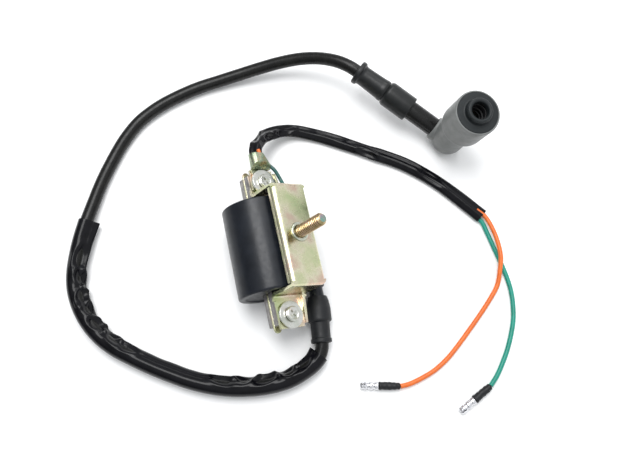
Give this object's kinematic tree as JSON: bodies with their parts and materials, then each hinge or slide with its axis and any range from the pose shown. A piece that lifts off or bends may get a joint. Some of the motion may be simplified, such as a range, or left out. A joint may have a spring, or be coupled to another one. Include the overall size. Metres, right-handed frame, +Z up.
{
  "type": "ignition coil",
  "caption": "Small-engine ignition coil: round moulded coil on a laminated core in a plated bracket with a stud, high-tension lead with plug cap, and low-tension wires.",
  "frame": {"origin": "on the surface the coil lies on, under the middle of the coil itself with its lead boot (its cords left out)", "axes": "+Y along the core, towards the low-tension clamp; +Z up, away from the surface; +X towards the lead boot"},
  "size_m": [0.2346, 0.213, 0.0527],
  "materials": {
    "case_black": "satin moulded phenolic, dark blue-grey black",
    "resin": "potting resin, dull",
    "core_steel": "bare laminated steel, edges visible",
    "zinc_yellow": "yellow iridescent zinc plate",
    "zinc_bright": "bright zinc plate",
    "stud_brassy": "yellow zinc plated thread, brassy",
    "copper": "enamelled copper wire",
    "bobbin": "natural nylon",
    "brass": "bare brass",
    "boot_rubber": "matte black rubber",
    "cap_rubber": "matte dark grey rubber",
    "lead_black": "smooth black insulation",
    "pvc_black": "glossy black PVC sleeve",
    "wire_orange": "orange PVC insulation",
    "wire_green": "green PVC insulation",
    "tin": "bright tin plate",
    "ceramic": "unglazed ceramic resistor body"
  },
  "bodies": {
    "coil": {"coil_case": "case_black", "potting_disc": "resin", "laminated_core": "core_steel", "core_tie_strip": "zinc_yellow", "primary_bobbin": "bobbin", "primary_winding": "copper", "secondary_bobbin": "bobbin", "secondary_winding": "copper", "bracket": "zinc_yellow", "mounting_stud": "stud_brassy", "stud_collar": "zinc_bright", "near_washer": "zinc_bright", "near_screw": "zinc_bright", "cable_clamp": "zinc_yellow", "far_washer": "zinc_bright", "far_screw": "zinc_bright", "orange_tail": "wire_orange", "green_tail": "wire_green", "tower_contact": "brass", "lead_boot": "boot_rubber", "ht_lead": "lead_black", "ht_sleeve": "pvc_black", "lt_sleeve": "pvc_black", "orange_wire": "wire_orange", "green_wire": "wire_green", "orange_insulator": "boot_rubber", "orange_bullet": "tin", "green_insulator": "boot_rubber", "green_bullet": "tin"},
    "plug_cap": {"cap_elbow": "cap_rubber", "cap_plug_seal": "cap_rubber", "cap_terminal": "brass", "cap_contact_pin": "brass", "cap_tube": "lead_black", "cap_collar": "boot_rubber", "cap_lead_seal": "boot_rubber", "cap_lead_spike": "brass", "cap_resistor": "ceramic", "cap_spring": "tin"}
  },
  "joints": [
    {"name": "plug_cap_swivel", "type": "hinge", "parent": "coil", "child": "plug_cap", "pos_m": [0.10509, 0.04319, 0.0093], "axis": [0.6706, -0.7191, -0.1822], "range_deg": [-75, 60]}
  ]
}
